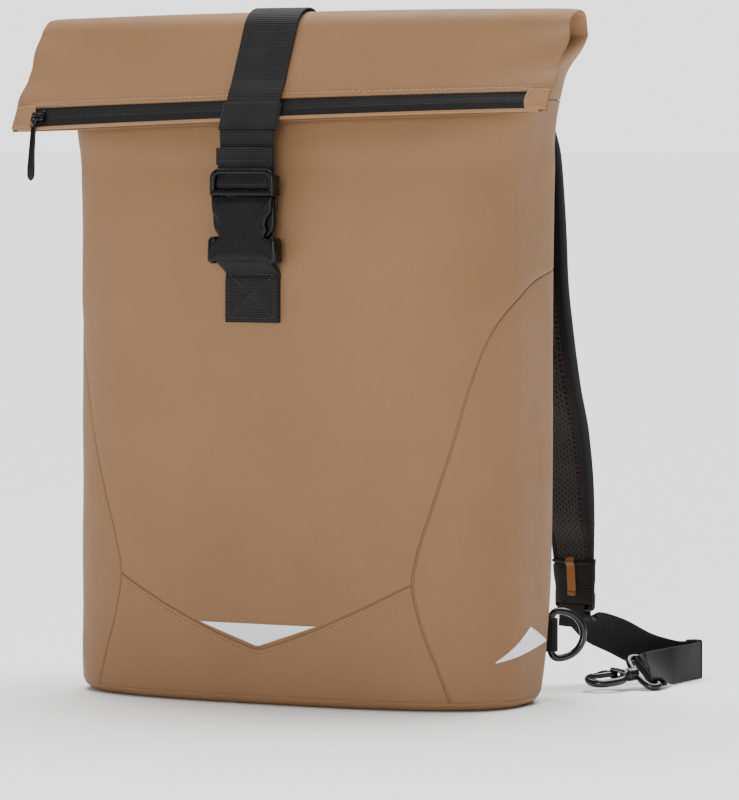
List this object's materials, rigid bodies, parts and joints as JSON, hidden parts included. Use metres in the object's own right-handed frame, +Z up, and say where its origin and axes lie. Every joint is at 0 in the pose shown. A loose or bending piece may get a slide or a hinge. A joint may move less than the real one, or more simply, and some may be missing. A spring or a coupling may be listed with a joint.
{
  "type": "backpack",
  "caption": "Roll-top messenger backpack in brown coated leather cloth with a webbing closure, side-release buckle, padded shoulder straps, rings and snap hooks",
  "frame": {"origin": "Middle of the flat base of the bag, on the surface that it stands on", "axes": "+Z up, +X to the right seen from the front, and the front, with the buckle, faces -Y"},
  "size_m": [0.3948, 0.3109, 0.4522],
  "materials": {
    "leather_brown": "smooth coated cloth, soft sheen",
    "webbing_black": "ribbed webbing",
    "mesh_black": "spacer mesh with bound edges",
    "plastic_black": "moulded, satin",
    "metal_black": "black coating, glossy",
    "zip_black": "coated tape, smooth",
    "reflective_silver": "reflective film",
    "accent_brown": "smooth strip"
  },
  "bodies": {
    "bag": {"front_panel": "leather_brown", "lower_front_panel": "leather_brown", "back_panel": "leather_brown", "base_panel": "leather_brown", "roll_top": "leather_brown", "zip_tape": "zip_black", "zip_slider": "metal_black", "zip_puller": "plastic_black", "closing_strap": "webbing_black", "strap_keeper": "webbing_black", "buckle_male": "plastic_black", "buckle_female": "plastic_black", "buckle_tab": "webbing_black", "front_reflector": "reflective_silver", "side_panel_right": "leather_brown", "side_reflector_right": "reflective_silver", "shoulder_strap_right": "mesh_black", "strap_accent_right": "accent_brown", "ladder_lock_right": "plastic_black", "hook_webbing_right": "webbing_black", "ring_tab_right": "webbing_black", "d_ring_right": "metal_black", "hook_eye_right": "metal_black", "side_panel_left": "leather_brown", "side_reflector_left": "reflective_silver", "shoulder_strap_left": "mesh_black", "strap_accent_left": "accent_brown", "ladder_lock_left": "plastic_black", "hook_webbing_left": "webbing_black", "ring_tab_left": "webbing_black", "d_ring_left": "metal_black", "hook_eye_left": "metal_black", "zip_end_right": "leather_brown", "zip_end_left": "leather_brown"},
    "hook_right": {"hook_body_right": "metal_black"},
    "gate_right": {"hook_gate_right": "metal_black"},
    "hook_left": {"hook_body_left": "metal_black"},
    "gate_left": {"hook_gate_left": "metal_black"}
  },
  "joints": [
    {"name": "hook_swivel_right", "type": "hinge", "parent": "bag", "child": "hook_right", "pos_m": [0.17723, 0.12635, 0.01029], "axis": [-0.5793, -0.809, -0.0999], "continuous": true},
    {"name": "hook_gate_right", "type": "hinge", "parent": "hook_right", "child": "gate_right", "pos_m": [0.16588, 0.12242, 0.01079], "axis": [0.1122, -0.2005, 0.9733], "range_deg": [0, 24], "stiffness_Nm_per_rad": 0.02, "springref_deg": -17.19},
    {"name": "hook_swivel_left", "type": "hinge", "parent": "bag", "child": "hook_left", "pos_m": [-0.17723, 0.12635, 0.01029], "axis": [0.5793, -0.809, -0.0999], "continuous": true},
    {"name": "hook_gate_left", "type": "hinge", "parent": "hook_left", "child": "gate_left", "pos_m": [-0.16588, 0.12242, 0.01079], "axis": [0.1122, 0.2005, -0.9733], "range_deg": [0, 24], "stiffness_Nm_per_rad": 0.02, "springref_deg": -17.19}
  ]
}
